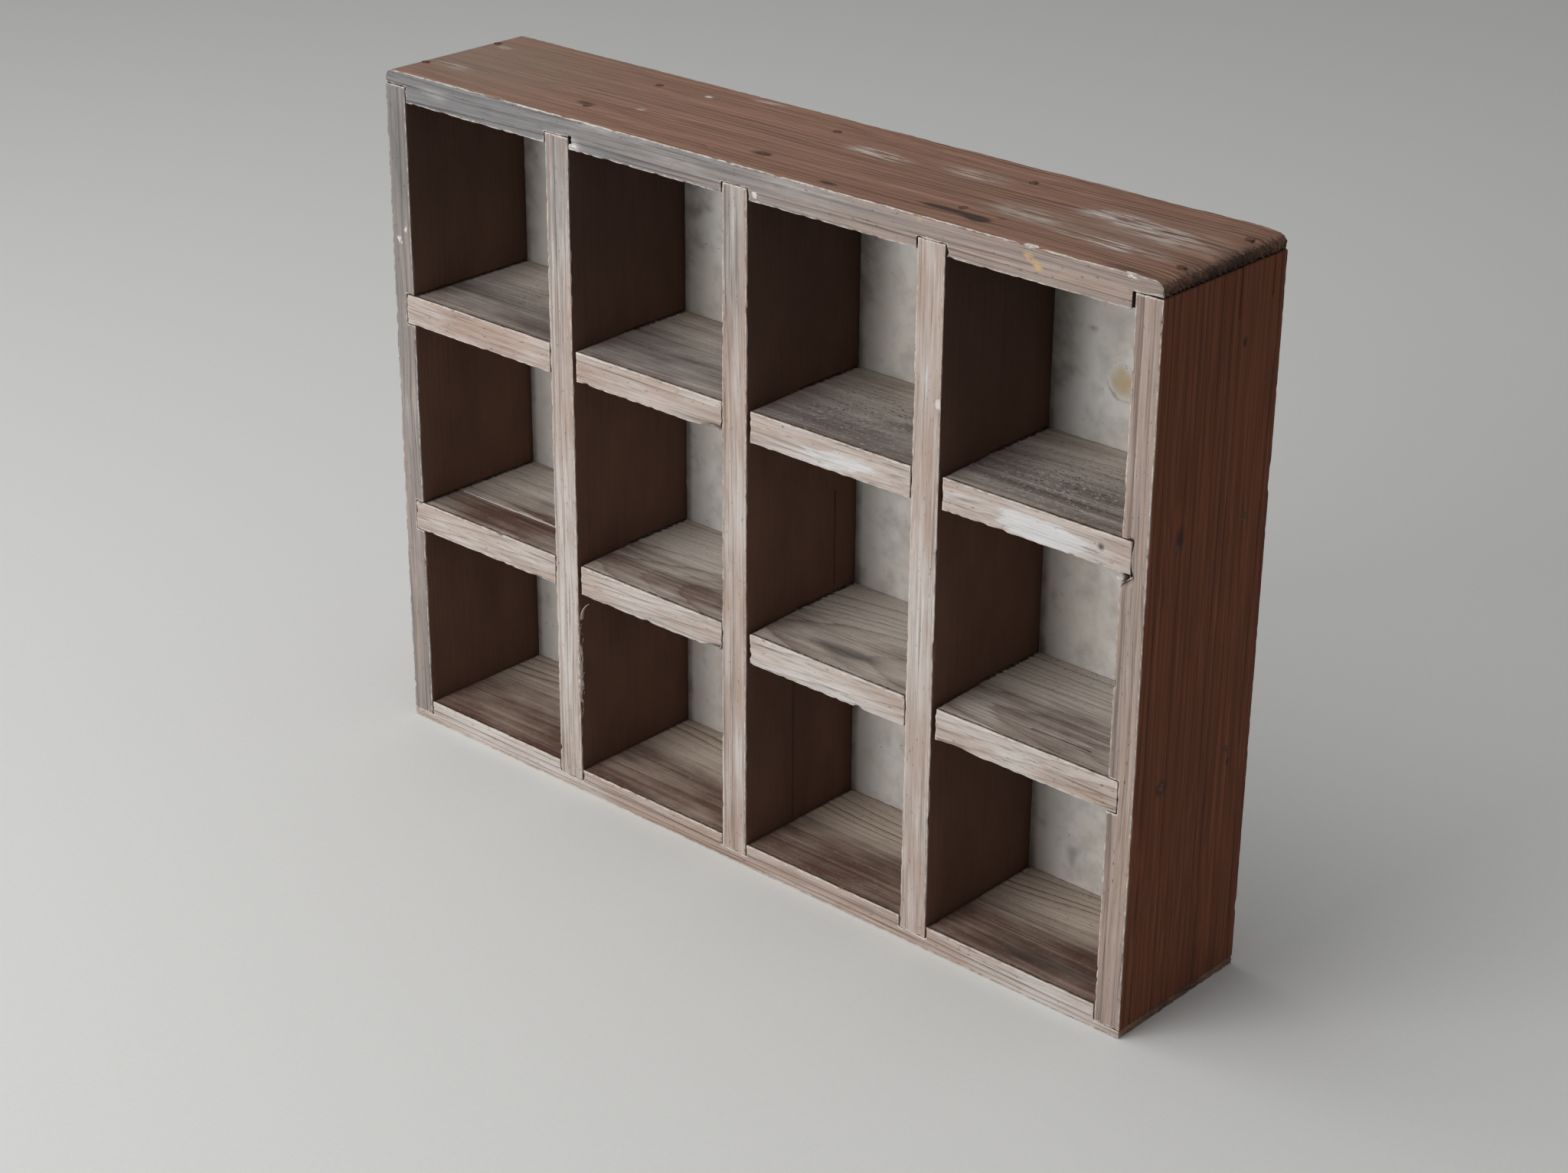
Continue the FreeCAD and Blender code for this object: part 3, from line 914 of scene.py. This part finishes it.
def board_masks(board, surface, place, rings, distance):
    """The values that the board's material reads at each point."""
    points = surface.points
    flat = np.ones(len(points))
    ragged = swing(place, FRONT_CELL, board.seed + FRONT_SEED) * FRONT_RAGGED
    outside = outside_mask(points)
    inside = 1 - outside
    up = facing(surface.outward[:, 2])
    across = facing(np.abs(surface.outward[:, 0]))
    to_right = rise(LEFT, RIGHT, points[:, 0])
    to_rear = rise(DUST_FROM, DUST_TO, points[:, 1])
    masks = {
        "ring": rings,
        "front": 1 - rise(FRONT_NEAR, FRONT_FAR, points[:, 1] - FRONT + ragged),
        "outside": outside,
        "ring_show": flat * board.ring_show,
        "outer_rings": flat - (1 - LEFT_RING_SHARE) * (1 - to_right) * (board.slot == "weathered_top"),
        "arris": near(distance, WORN_REACH) * (1 - across),
        "dust": up * inside * (board.dust + (1 - board.dust) * to_rear),
        # Inner walls darker in the top row: painted shade under the top board
        "top_shade": inside * (1 - up) * rise(SHADE_FOOT, SHADE_HEAD, points[:, 2]),
        # Grime behind the front arrises, and painted shade in the nooks beside the upright walls
        "grime_and_shade": up * inside * grime_and_shade_mask(points),
        "wash": flat * board.wash,
        "silver": flat * board.silver * (1 - SILVER_FADE_SHARE * to_right),
    }
    masks |= {kind: np.zeros(len(points)) for kind in SPOT_KINDS}
    for low, high in crack_cuts(board.node):
        masks["arris"] = masks["arris"] * ~close_to(points, low, high, CRACK_HALO)
    for low, high in crack_cuts(board.node, PALE_CRACKS):
        masks["lip"] = masks["lip"] + close_to(points, low, high, LIP_REACH)
    for kind, middle, reach, strength in MARKS[board.node]:
        masks[kind] = masks[kind] + strength * soft_spot(points, middle, reach)
    return masks


# Pieces

def add_object(name, data):
    """A new object in the scene."""
    made = bpy.data.objects.new(name, data)
    bpy.context.scene.collection.objects.link(made)
    return made


def mesh_piece(name, points, quads, values, place, caps=()):
    """A smooth-shaded mesh object with its mask values and grain places as attributes."""
    mesh = bpy.data.meshes.new(name)
    mesh.from_pydata(points.tolist(), [], quads.tolist() + list(caps))
    mesh.shade_smooth()
    for key, value in values.items():
        layer = mesh.attributes.new(key, "FLOAT", "POINT")
        layer.data.foreach_set("value", value.astype(np.float32))
    layer = mesh.attributes.new("place", "FLOAT_VECTOR", "POINT")
    layer.data.foreach_set("vector", place.astype(np.float32).ravel())
    return add_object(name, mesh)


def make_board(board, material):
    """One worn board in place of its CAD node."""
    steps = [STEP_ACROSS] * 3
    steps[board.grain] = STEP_ALONG
    surface = grid_skin(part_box(board.node), joint_cuts(board.node) + crack_cuts(board.node), steps)
    distance = arris_distance(surface)
    place = grain_place(board, surface.points)
    rings = ring_count(board, place)
    points = worn(board, surface, place, rings, distance)
    if board.node == "top_board":
        points = rounded_ends(points)
    if board.node in SHELVES:
        points = tapered_slots(points)
    values = board_masks(board, surface, place, rings, distance)
    # The seed moves the grain's places, so that no two boards share their noise
    piece = mesh_piece(f"worn_{board.node}", points, surface.quads, values, place + board.seed)
    piece.data.materials.append(material)
    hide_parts(board.node)
    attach(piece, "root")


# Other pieces: the splinter, the torn flake, the back panel and the nails

def tube(rings, sides):
    """Quads and end caps over rings of corners, numbered ring after ring."""
    quads = []
    for low in range(0, (rings - 1) * sides, sides):
        for side in range(sides):
            after = (side + 1) % sides
            quads.append((low + side, low + after, low + sides + after, low + sides + side))
    last = (rings - 1) * sides
    caps = [tuple(reversed(range(sides))), tuple(range(last, last + sides))]
    return np.array(quads), caps


def make_splinter(material):
    """A sliver that has torn off the left divider's front arris and curls into the compartment."""
    bottom = np.array((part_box("left_divider")[1][0], FRONT + SPLINTER_WIDTH, SPLINTER_FOOT))
    rings = []
    for share in np.linspace(0, 1, SPLINTER_STEPS + 1):
        turn = SPLINTER_CURL * share
        middle = bottom + SPLINTER_LENGTH / SPLINTER_CURL * np.array((1 - math.cos(turn), 0, math.sin(turn)))
        taper = 1 - share * (1 - SPLINTER_TIP_SHARE)
        across = np.array((0, SPLINTER_WIDTH / 2 * taper, 0))
        through = SPLINTER_THICKNESS / 2 * taper * np.array((math.cos(turn), 0, -math.sin(turn)))
        rings.append([middle - across + through, middle + across + through,
                      middle + across - through, middle - across - through])
    points = np.concatenate(rings)
    quads, caps = tube(len(rings), len(rings[0]))
    values = {"front": np.ones(len(points)), "wash": np.full(len(points), SPLINTER_WASH_SHARE)}
    piece = mesh_piece("splinter", points, quads, values, points[:, UPRIGHT_AXES], caps)
    piece.data.materials.append(material)
    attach(piece, "root")


def make_flake(material):
    """A torn flake that hangs from the right side's front arris under the upper shelf."""
    corners = []
    for level in np.linspace(0, 1, FLAKE_LEVELS):
        round_share = math.sin(math.pi * (FLAKE_END_SHARE + level * (1 - 2 * FLAKE_END_SHARE)))
        for turn in np.arange(FLAKE_SIDES) * 2 * math.pi / FLAKE_SIDES:
            corners.append((round_share * math.cos(turn), round_share * math.sin(turn), 2 * level - 1))
    shape = np.array(corners)
    rough = 1 - FLAKE_ROUGH_SHARE * noise(shape, (FLAKE_NOISE_SHARE,) * 3)
    points = np.array(FLAKE_MIDDLE) + shape * rough[:, None] * np.array(FLAKE_SIZE) / 2
    quads, caps = tube(FLAKE_LEVELS, FLAKE_SIDES)
    values = {"front": np.ones(len(points)), "paint": np.ones(len(points))}
    piece = mesh_piece("torn_flake", points, quads, values, points[:, UPRIGHT_AXES], caps)
    piece.data.materials.append(material)
    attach(piece, "root")


def panel_marks(points):
    """The panel's stains, yellow patches and tide marks, with warped borders."""
    warp = np.stack([swing(points, STAIN_WARP_CELL, seed) for seed in range(3)], axis=1)
    warped = points + warp * STAIN_WARP
    masks = {kind: np.zeros(len(points)) for kind in PANEL_SPOT_KINDS}
    for kind, middle, reach, strength in MARKS[PANEL]:
        shape = soft_ring if kind == "ring" else soft_spot
        masks[kind] += strength * shape(warped, middle, reach)
    return masks


def compartment_shade(points):
    """Painted shade on the panel under and beside the boards, and a painted shadow right of each upright,
    weaker below.
    """
    levels = [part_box(node)[0][2] for node in SHELVES + ("top_board",)]
    to_level = np.abs(points[:, 2:] - np.array(levels)).min(axis=1)
    to_edge = np.minimum(to_level, wall_distance(points))
    shade = np.zeros(len(points))
    for node in DIVIDERS + ("left_side",):
        right_of = points[:, 0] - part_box(node)[1][0]
        shade += near(right_of, PANEL_SHADE_REACH) * (right_of > 0)
    shade *= LOW_SHADE_SHARE + (1 - LOW_SHADE_SHARE) * rise(SHADE_FOOT, SHADE_HEAD, points[:, 2])
    return np.maximum(near(to_edge, PANEL_EDGE_REACH), shade)


def rim_grime(points):
    """1 along the back panel's rim, fading out inwards."""
    low, high = (np.array(corner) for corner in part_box(PANEL))
    to_rim = np.minimum(points - low, high - points)[:, (0, 2)].min(axis=1)
    return near(to_rim, RIM_REACH)


def pin_halo(points):
    """1 at the back panel's pins, fading out over the rust round them."""
    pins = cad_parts["back_panel_pins"]
    corners = [pins.matrix_world @ vertex.co for vertex in pins.data.vertices]
    return near(nearest_distance(points, corners), PIN_HALO_REACH)


def panel_masks(points):
    """The values that the panel's material reads, in the compartments and on the rear face."""
    low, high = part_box(PANEL)
    in_view = points[:, 1] < (low[1] + high[1]) / 2
    masks = {kind: mask * in_view for kind, mask in panel_marks(points).items()}
    # In the compartments this mask is painted shade and painted shadow; on the rear face it is grime along
    # the rim
    masks["grime_and_shade"] = np.where(in_view, compartment_shade(points), rim_grime(points))
    masks["rust"] = ~in_view * pin_halo(points)
    return masks


def make_panel(material):
    """The back panel in place of its CAD node."""
    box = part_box(PANEL)
    surface = grid_skin(box, [], (PANEL_STEP, STEP_ACROSS, PANEL_STEP))
    place = surface.points - np.array(box[0])
    piece = mesh_piece(f"worn_{PANEL}", surface.points, surface.quads, panel_masks(surface.points), place)
    piece.data.materials.append(material)
    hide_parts(PANEL)
    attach(piece, "root")


def finish_nails(material):
    """The CAD nails with their rust."""
    for node in NAIL_NODES:
        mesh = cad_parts[node].data
        mesh.materials.clear()
        mesh.materials.append(material)


# Materials

def grey(level):
    """A grey of the given level, as the shader wants it."""
    return (level, level, level, 1.0)


def linear(colour):
    """A colour written as 0 to 255 display values, as the shader wants it."""
    display = Color(value / DISPLAY_WHITE for value in colour)
    return tuple(display.from_srgb_to_scene_linear()) + (1.0,)


class Shader:
    """Builds one material; its methods add nodes and give back their output sockets."""

    def __init__(self, name):
        self.material = bpy.data.materials.new(name)
        self.material.use_nodes = True
        self.tree = self.material.node_tree
        self.tree.nodes.clear()

    def node(self, kind, inputs, **settings):
        """A node with its settings, and with its inputs linked to sockets or set to values."""
        made = self.tree.nodes.new(kind)
        for key, value in settings.items():
            setattr(made, key, value)
        for key, value in inputs.items():
            if isinstance(value, bpy.types.NodeSocket):
                self.tree.links.new(value, made.inputs[key])
            else:
                made.inputs[key].default_value = value
        return made

    def mask(self, name):
        return self.node("ShaderNodeAttribute", {}, attribute_name=name).outputs["Fac"]

    def place(self):
        """The place along and across the grain that the mesh carries at each point."""
        return self.node("ShaderNodeAttribute", {}, attribute_name="place").outputs["Vector"]

    def object_place(self):
        """The place in the object's own axes, for a mesh that carries none."""
        return self.node("ShaderNodeTexCoord", {}).outputs["Object"]

    def math(self, operation, first, second=0.0):
        return self.node("ShaderNodeMath", {0: first, 1: second}, operation=operation).outputs[0]

    def plus(self, first, second):
        return self.math("ADD", first, second)

    def times(self, first, second):
        return self.math("MULTIPLY", first, second)

    def blend(self, share, first, second):
        """A share of the first value and the rest of the second."""
        return self.plus(self.times(first, share), self.times(second, 1 - share))

    def noise(self, place, cell):
        """Noise from 0 to 1 with the given cell size along and across the grain."""
        scaled = self.node("ShaderNodeVectorMath", {0: place, 1: cell}, operation="DIVIDE").outputs[0]
        turn = {"Vector": scaled, "Axis": NOISE_AXIS, "Angle": NOISE_TURN}
        turned = self.node("ShaderNodeVectorRotate", turn).outputs[0]
        settings = {"Vector": turned, "Scale": 1.0, "Detail": NOISE_DETAIL, "Roughness": NOISE_ROUGHNESS}
        return self.node("ShaderNodeTexNoise", settings).outputs["Fac"]

    def slope(self, value, low, high):
        """0 at the low level, 1 at the high one, and a smooth slope between."""
        settings = {"Value": value, "From Min": low, "From Max": high}
        return self.node("ShaderNodeMapRange", settings, interpolation_type="SMOOTHSTEP").outputs[0]

    def shown(self, mask, grain, layer=""):
        """How much of a layer shows: its mask, with its border broken up by noise, times its strength."""
        chosen = LAYERS[layer or mask]
        wobble = self.times(self.math("SUBTRACT", grain, NOISE_MIDDLE), chosen.wobble)
        border = self.slope(self.plus(self.mask(mask), wobble), chosen.start, chosen.full)
        return self.times(border, chosen.strength)

    def mix(self, share, first, second, blend="MIX"):
        """Two colours mixed; Blender numbers the colours' inputs 6 and 7 and their output 2."""
        made = self.node("ShaderNodeMix", {0: share, 6: first, 7: second}, data_type="RGBA", blend_type=blend)
        return made.outputs[2]

    def coat(self, share, colour, tone):
        """A share of a display tone over a colour."""
        return self.mix(share, colour, linear(tone))

    def ramp(self, share, stops):
        made = self.node("ShaderNodeValToRGB", {"Fac": share})
        elements = made.color_ramp.elements
        elements[0].position, elements[1].position = stops[0][0], stops[-1][0]
        for position, _ in stops[1:-1]:
            elements.new(position)
        for element, (_, level) in zip(elements, stops):
            element.color = grey(level)
        return made.outputs["Color"]

    def shaded(self, colour, level, shades, share=1.0):
        """A colour made darker or lighter by a noise level."""
        return self.mix(share, colour, self.ramp(level, shades), "MULTIPLY")

    def finish(self, colour, roughness, height, depth):
        bump = self.node("ShaderNodeBump", {"Height": height, "Distance": depth, "Strength": 1.0})
        settings = {"Base Color": colour, "Roughness": roughness, "Normal": bump.outputs[0],
                    "Specular IOR Level": SPECULAR_SHARE}
        shader = self.node("ShaderNodeBsdfPrincipled", settings)
        self.node("ShaderNodeOutputMaterial", {"Surface": shader.outputs[0]})
        return self.material


def ring_lines(shader, streak):
    """How dark the late wood is, with some rings stronger than others."""
    rings = shader.plus(shader.mask("ring"), shader.times(streak, RING_STREAK_SHARE))
    late = shader.ramp(shader.math("FRACT", rings), RING_STOPS)
    number = shader.node("ShaderNodeTexWhiteNoise", {"W": shader.math("FLOOR", rings)}, noise_dimensions="1D")
    return shader.times(late, shader.slope(number.outputs["Value"], *RING_STRENGTH_LEVELS))


def body_colour(shader, finish, late, grain):
    """Brown wood inside with painted shade on the top row's inner walls, the board's own finish outside,
    greyer where it has weathered.
    """
    inner = shader.coat(shader.times(late, INNER_RING_SHARE), linear(INNER_EARLY), INNER_LATE)
    inner = shader.shaded(inner, grain["blotch"], INNER_BLOTCHES)
    inner = shader.coat(shader.times(shader.mask("top_shade"), TOP_SHADE_SHARE), inner, TOP_SHADE)
    outer = shader.coat(shader.times(late, shader.mask("outer_rings")), linear(finish.early), finish.late)
    outer = shader.shaded(outer, grain["line"], OUTER_LINES)
    outer = shader.shaded(outer, grain["streak"], OUTER_STREAKS)
    bloom = shader.shown("bloom", grain["streak"])
    inner = shader.coat(bloom, inner, INNER_BLOOM)
    outer = shader.coat(bloom, outer, SILVER)
    return shader.mix(shader.mask("outside"), inner, outer)


def front_colour(shader, late, grain):
    """The front edges: bare or slate grey wood, whitewash, paint flakes, pits and bright arrises."""
    rings = shader.times(late, shader.mask("ring_show"))
    bare = shader.coat(rings, linear(BARE_EARLY), BARE_LATE)
    slate = shader.coat(late, linear(SLATE), SLATE_LATE)
    colour = shader.mix(shader.shown("silver", grain["streak"]), bare, slate)
    thin = shader.math("SUBTRACT", WASH_SHARE, shader.times(rings, WASH_RING_SHARE))
    colour = shader.coat(shader.times(shader.shown("wash", grain["patch"]), thin), colour, WASH)
    colour = shader.shaded(colour, grain["line"], FRONT_LINES)
    flakes = shader.blend(PAINT_PATCH_SHARE, grain["patch"], grain["scrape"])
    colour = shader.coat(shader.shown("paint", flakes), colour, PAINT)
    colour = shader.coat(shader.times(shader.slope(grain["fleck"], *PIT_LEVELS), PIT_SHARE), colour, GRIME_AND_SHADE)
    return shader.coat(shader.shown("arris", grain["fleck"], "bright_arris"), colour, BRIGHT)


def dusted(shader, finish, colour, late, grain):
    """Dust and grit on the upper faces, thinner over the hard late wood, grime behind the front arrises and
    painted shade in the nooks.
    """
    drift = shader.blend(DRIFT_BLOTCH_SHARE, grain["blotch"], grain["streak"])
    rings = shader.times(late, shader.mask("ring_show"))
    thin = shader.math("SUBTRACT", 1.0, shader.times(rings, DUST_RING_SHARE))
    dust = shader.times(shader.times(shader.shown("dust", drift), thin), finish.dust_share)
    colour = shader.coat(dust, colour, finish.dust)
    grit = shader.plus(shader.times(shader.mask("dust"), GRIT_SHARE), shader.mask("grit"))
    for levels, tone in ((PALE_GRIT_LEVELS, GRIT_PALE), (DARK_GRIT_LEVELS, GRIT_DARK)):
        specks = shader.times(grit, shader.slope(grain["speck"], *levels))
        colour = shader.coat(specks, colour, tone)
    return shader.coat(shader.shown("grime_and_shade", grain["fleck"]), colour, GRIME_AND_SHADE)


def marked(shader, colour, grain):
    """Yellow streaks, pale scuffs, bright lips and dark stains."""
    colour = shader.coat(shader.shown("ochre", grain["fleck"]), colour, OCHRE)
    scrapes = shader.slope(grain["scrape"], *SCRAPE_LEVELS)
    scuff = shader.times(shader.slope(shader.mask("scuff"), *SCUFF_LEVELS), scrapes)
    colour = shader.coat(scuff, colour, SCUFF)
    colour = shader.coat(shader.shown("lip", grain["fleck"]), colour, BRIGHT)
    return shader.coat(shader.shown("stain", grain["patch"]), colour, STAIN)


def wood_height(shader, late, grain):
    """The height of grain lines, late wood, fibres and grit."""
    fibres = shader.plus(shader.times(late, LATE_HEIGHT_SHARE), grain["fibre"])
    grit = shader.times(shader.mask("grit"), shader.times(grain["speck"], GRIT_HEIGHT_SHARE))
    return shader.plus(shader.plus(grain["line"], fibres), grit)


def wood(slot):
    """A wood finish: growth rings, fibres, a washed front, worn arrises, dust and marks."""
    shader = Shader(slot)
    place = shader.place()
    grain = {name: shader.noise(place, cell) for name, cell in GRAIN_CELLS.items()}
    late = ring_lines(shader, grain["streak"])
    colour = body_colour(shader, FINISHES[slot], late, grain)
    colour = dusted(shader, FINISHES[slot], colour, late, grain)
    colour = shader.coat(shader.shown("arris", grain["fleck"], "worn_arris"), colour, WORN)
    colour = shader.mix(shader.shown("front", grain["fibre"]), colour, front_colour(shader, late, grain))
    colour = marked(shader, colour, grain)
    open_face = shader.math("MAXIMUM", shader.mask("front"), shader.mask("outside"))
    fibres = shader.plus(INNER_FIBRE_SHARE, shader.times(open_face, 1 - INNER_FIBRE_SHARE))
    colour = shader.shaded(colour, grain["fibre"], FIBRE_SHADES, fibres)
    roughness = shader.slope(grain["fibre"], *WOOD_ROUGH_LEVELS)
    return shader.finish(colour, roughness, wood_height(shader, late, grain), WOOD_BUMP)


def panel_paint():
    """The back panel's pale, dusty paint, with stains, smudges, fly specks, rust round its pins, grime on the
    rear rim and painted shade in the compartments.
    """
    shader = Shader("grey_panel")
    place = shader.place()
    blotch = shader.noise(place, PANEL_BLOTCH_CELL)
    mottle = shader.noise(place, PANEL_MOTTLE_CELL)
    speck = shader.noise(place, SPECK_CELL)
    colour = shader.coat(shader.slope(blotch, *PANEL_TONE_LEVELS), linear(PANEL_COOL), PANEL_WARM)
    colour = shader.shaded(colour, mottle, PANEL_MOTTLES)
    colour = shader.coat(shader.slope(speck, *PANEL_SPECK_LEVELS), colour, GRIT_DARK)
    for mask, tone in PANEL_LAYER_TONES.items():
        colour = shader.coat(shader.shown(mask, mottle, f"panel_{mask}"), colour, tone)
    roughness = shader.slope(speck, *PANEL_ROUGH_LEVELS)
    return shader.finish(colour, roughness, shader.plus(mottle, speck), PANEL_BUMP)


def rust():
    """The nails' rusty iron."""
    shader = Shader("rusted_nail")
    patch = shader.noise(shader.object_place(), SPECK_CELL)
    colour = shader.coat(shader.slope(patch, *RUST_LEVELS), linear(RUST_DARK), RUST_PALE)
    return shader.finish(colour, shader.slope(patch, *RUST_ROUGH_LEVELS), patch, RUST_BUMP)


def floor_paint():
    """The floor's plain pale paint."""
    shader = Shader("floor")
    patch = shader.noise(shader.object_place(), SPECK_CELL)
    colour = shader.coat(patch, linear(FLOOR_DARK), FLOOR_PALE)
    return shader.finish(colour, shader.slope(patch, *FLOOR_ROUGH_LEVELS), patch, FLOOR_BUMP)


# Floor, light and camera

def towards(azimuth, elevation):
    """The direction from the rack to something at an azimuth and elevation; azimuth 0 is in front."""
    level = math.cos(elevation)
    return Vector((math.sin(azimuth) * level, -math.cos(azimuth) * level, math.sin(elevation)))


def aimed(name, data, location, direction, roll=0.0):
    """A lamp or camera at a location, with its back turned towards a direction."""
    made = add_object(name, data)
    made.location = location
    made.rotation_mode = "QUATERNION"
    made.rotation_quaternion = direction.to_track_quat("Z", "Y") @ Quaternion((0, 0, 1), roll)
    return made


def make_floor():
    """A plain pale floor under the rack."""
    half = FLOOR_SIZE / 2
    corners = [(-half, -half, 0), (half, -half, 0), (half, half, 0), (-half, half, 0)]
    mesh = bpy.data.meshes.new("floor")
    mesh.from_pydata(corners, [], [(0, 1, 2, 3)])
    mesh.materials.append(floor_paint())
    floor = add_object("floor", mesh)


def make_light():
    """Two large soft lamps and a plain world."""
    for name, lamp in LAMPS.items():
        light = bpy.data.lights.new(name, "AREA")
        light.shape = "SQUARE"
        light.size = lamp.side
        light.energy = lamp.power
        direction = towards(lamp.azimuth, lamp.elevation)
        aimed(name, light, direction * lamp.distance, direction)
    world = bpy.data.worlds.new("studio")
    world.use_nodes = True
    background = world.node_tree.nodes["Background"]
    background.inputs["Color"].default_value = grey(1.0)
    background.inputs["Strength"].default_value = FILL_STRENGTH
    bpy.context.scene.world = world


def make_camera():
    """The camera, at the photograph's viewing angle."""
    data = bpy.data.cameras.new("camera")
    data.lens = CAMERA_LENS
    data.sensor_width = CAMERA_SENSOR
    data.sensor_fit = "HORIZONTAL"
    direction = towards(CAMERA_AZIMUTH, CAMERA_ELEVATION)
    location = CAMERA_TARGET + direction * CAMERA_DISTANCE
    bpy.context.scene.camera = aimed("camera", data, location, direction, CAMERA_ROLL)


bpy.context.scene.view_settings.view_transform = "Standard"
make_camera()
make_light()
make_floor()
woods = {slot: wood(slot) for slot in FINISHES}
for board in BOARDS:
    make_board(board, woods[board.slot])
make_splinter(woods["bleached_grid"])
make_flake(woods["stained_side"])
make_panel(panel_paint())
finish_nails(rust())

bpy.context.view_layer.update()
